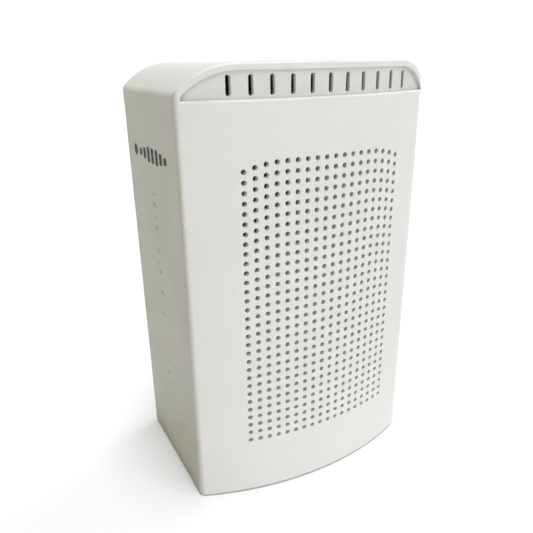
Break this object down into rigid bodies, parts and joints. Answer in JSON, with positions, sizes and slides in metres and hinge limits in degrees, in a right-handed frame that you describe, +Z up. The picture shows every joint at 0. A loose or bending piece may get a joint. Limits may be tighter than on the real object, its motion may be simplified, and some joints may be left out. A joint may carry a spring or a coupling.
{
  "type": "optical network terminal",
  "caption": "Free-standing tower gateway for a fibre line, with a convex perforated front, a vent band under the top rim, indicators and a button on one narrow side and ports on the other.",
  "frame": {"origin": "centre of the footprint, on the surface that the feet stand on", "axes": "+Z up; the perforated front looks along -Y, the indicators and the button are on -X, the ports on +X"},
  "size_m": [0.1424, 0.0946, 0.2265],
  "materials": {
    "shell_white": "satin, fine moulded texture",
    "cover_white": "satin, fine moulded texture",
    "panel_white": "satin, fine moulded texture",
    "button_white": "satin",
    "button_grey": "satin",
    "rubber_grey": "matt",
    "screw_steel": "zinc plated",
    "board_green": "glossy solder mask over glass laminate",
    "chip_black": "matt moulded epoxy",
    "chip_lid": "satin nickel lid",
    "pad_blue": "soft silicone",
    "sink_alloy": "extruded, anodised",
    "shield_tin": "tin plated sheet",
    "capacitor_sleeve": "shrink sleeve and bare can top",
    "coil_grey": "pressed ferrite",
    "jack_yellow": "moulded",
    "jack_grey": "moulded",
    "jack_black": "moulded",
    "contact_gold": "gold plated",
    "socket_steel": "nickel plated sheet",
    "fibre_green": "moulded",
    "plug_white": "moulded",
    "sleeve_ceramic": "polished",
    "module_metal": "gold-tinted plate",
    "fibre_jacket": "tight jacket",
    "clear_pipe": "clear polycarbonate",
    "led_body": "clear resin over phosphor",
    "ribbon_white": "laminated flat cable",
    "connector_ivory": "moulded",
    "coax_grey": "jacket",
    "strip_dark": "printed strip"
  },
  "bodies": {
    "enclosure": {"antenna_leads": "coax_grey", "antenna_left": "strip_dark", "antenna_plugs": "contact_gold", "antenna_right": "strip_dark", "antenna_top_left": "strip_dark", "antenna_top_right": "strip_dark", "base_plate": "cover_white", "base_screws": "screw_steel", "board_screws": "screw_steel", "capacitors": "capacitor_sleeve", "cover_screws": "screw_steel", "dc_jack": "jack_black", "dc_pin": "contact_gold", "ferrule_sleeve": "sleeve_ceramic", "fibre_adapter": "fibre_green", "fibre_ferrule": "plug_white", "fibre_pigtail": "fibre_jacket", "heat_sink": "sink_alloy", "heat_sink_pins": "plug_white", "indicator_leds": "led_body", "lan_contacts": "contact_gold", "lan_jack_1": "jack_yellow", "lan_jack_2": "jack_yellow", "lan_jack_3": "jack_yellow", "lan_jack_4": "jack_yellow", "lan_transformers": "chip_black", "led_board": "board_green", "led_board_screws": "screw_steel", "light_pipes": "clear_pipe", "main_board": "board_green", "main_housing": "shell_white", "main_processor": "chip_lid", "memory_chips": "chip_black", "optical_module": "module_metal", "phone_contacts": "contact_gold", "phone_jack": "jack_grey", "port_panel": "panel_white", "power_coils": "coil_grey", "power_switch": "jack_black", "radio_chips": "chip_black", "radio_shield_lower": "shield_tin", "radio_shield_upper": "shield_tin", "rear_cover": "cover_white", "reset_switch": "jack_black", "ribbon_cable": "ribbon_white", "ribbon_connectors": "connector_ivory", "rubber_feet": "rubber_grey", "thermal_pad": "pad_blue", "usb_socket": "socket_steel", "usb_tongue": "jack_black", "wifi_switch": "jack_black", "wps_switch": "jack_black"},
    "wps_button": {"wps_button": "button_white", "wps_plunger": "jack_black"},
    "power_button": {"power_button": "button_grey"},
    "wifi_button": {"wifi_button": "button_white", "wifi_plunger": "jack_black"},
    "reset_button": {"reset_button": "button_grey"},
    "fibre_dust_plug": {"fibre_dust_plug": "plug_white"}
  },
  "joints": [
    {"name": "wps_button_press", "type": "slide", "parent": "enclosure", "child": "wps_button", "axis": [1, 0, 0], "range_m": [0, 0.0005], "stiffness_N_per_m": 600},
    {"name": "power_button_press", "type": "slide", "parent": "enclosure", "child": "power_button", "axis": [-1, 0, 0], "range_m": [0, 0.002], "stiffness_N_per_m": 400},
    {"name": "wifi_button_press", "type": "slide", "parent": "enclosure", "child": "wifi_button", "axis": [-1, 0, 0], "range_m": [0, 0.0006], "stiffness_N_per_m": 600},
    {"name": "reset_button_press", "type": "slide", "parent": "enclosure", "child": "reset_button", "axis": [-1, 0, 0], "range_m": [0, 0.0006], "stiffness_N_per_m": 600},
    {"name": "dust_plug_pull", "type": "slide", "parent": "enclosure", "child": "fibre_dust_plug", "axis": [1, 0, 0], "range_m": [0, 0.02]}
  ]
}
